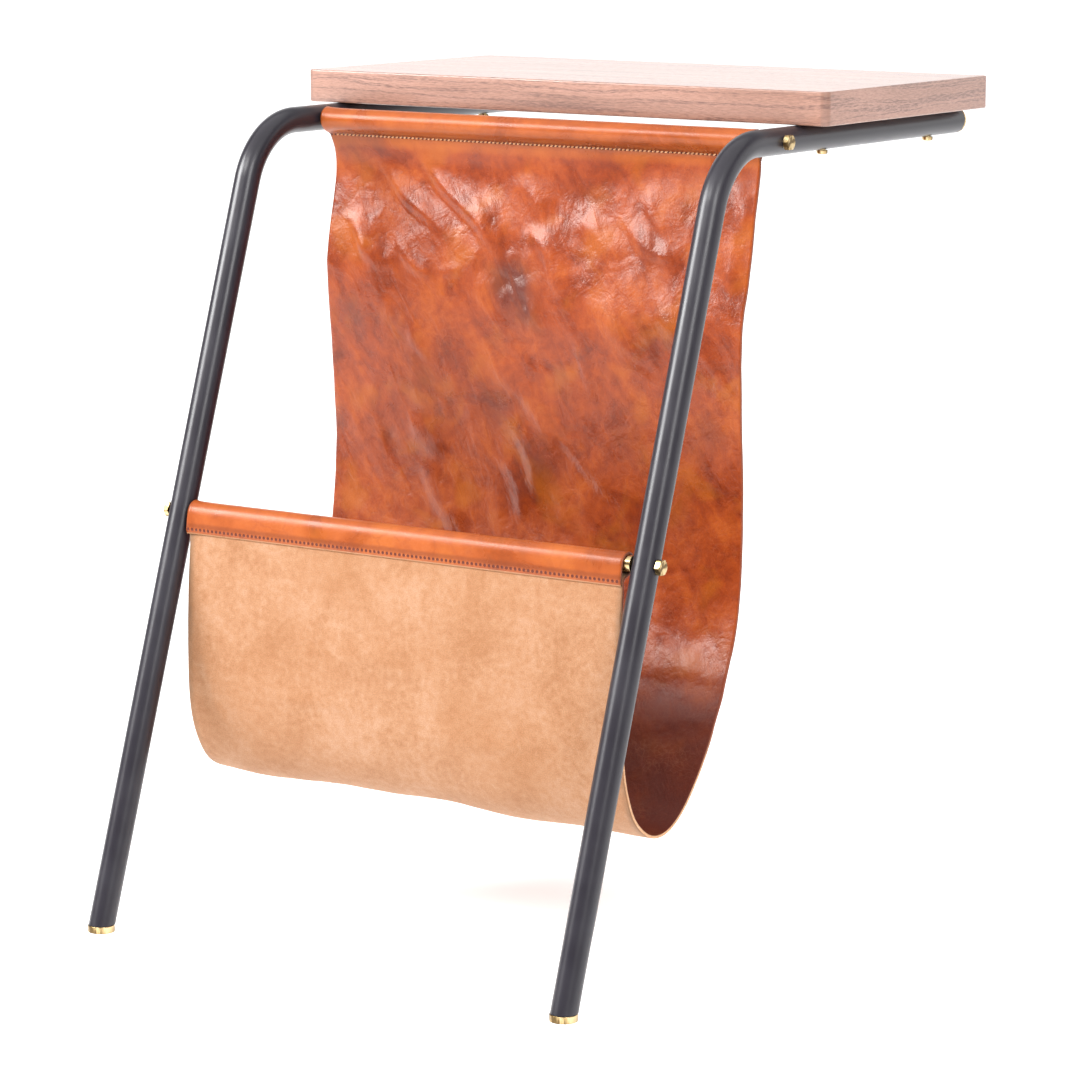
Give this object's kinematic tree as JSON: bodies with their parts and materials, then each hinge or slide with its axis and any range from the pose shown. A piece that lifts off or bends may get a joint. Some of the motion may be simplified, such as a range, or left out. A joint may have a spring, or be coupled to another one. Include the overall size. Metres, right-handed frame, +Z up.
{
  "type": "leaning magazine rack table",
  "caption": "Small side table that leans against a wall: bent tube legs carry a walnut board, and a leather sling between them holds magazines.",
  "frame": {"origin": "on the floor, at the centre of the part's footprint", "axes": "+X to the right when seen from the front, +Y towards the wall, +Z up"},
  "size_m": [0.45, 0.5366, 0.6],
  "materials": {
    "walnut": "oiled, satin",
    "leather": "smooth cognac outside, suede inside",
    "tube_paint": "satin black powder coat",
    "brass": "satin",
    "thread": "waxed thread"
  },
  "bodies": {
    "root": {"board": "walnut", "sling": "leather", "side_tube_left": "tube_paint", "foot_left": "brass", "arm_cap_left": "brass", "side_tube_right": "tube_paint", "foot_right": "brass", "arm_cap_right": "brass", "rod_upper": "brass", "seam_thread_upper": "thread", "rod_bolt_upper_left": "brass", "rod_bolt_upper_right": "brass", "rod_lower": "brass", "seam_thread_lower": "thread", "rod_bolt_lower_left": "brass", "rod_bolt_lower_right": "brass", "board_screw_left_front": "brass", "board_insert_left_front": "brass", "board_screw_left_rear": "brass", "board_insert_left_rear": "brass", "board_screw_right_front": "brass", "board_insert_right_front": "brass", "board_screw_right_rear": "brass", "board_insert_right_rear": "brass"}
  },
  "joints": []
}
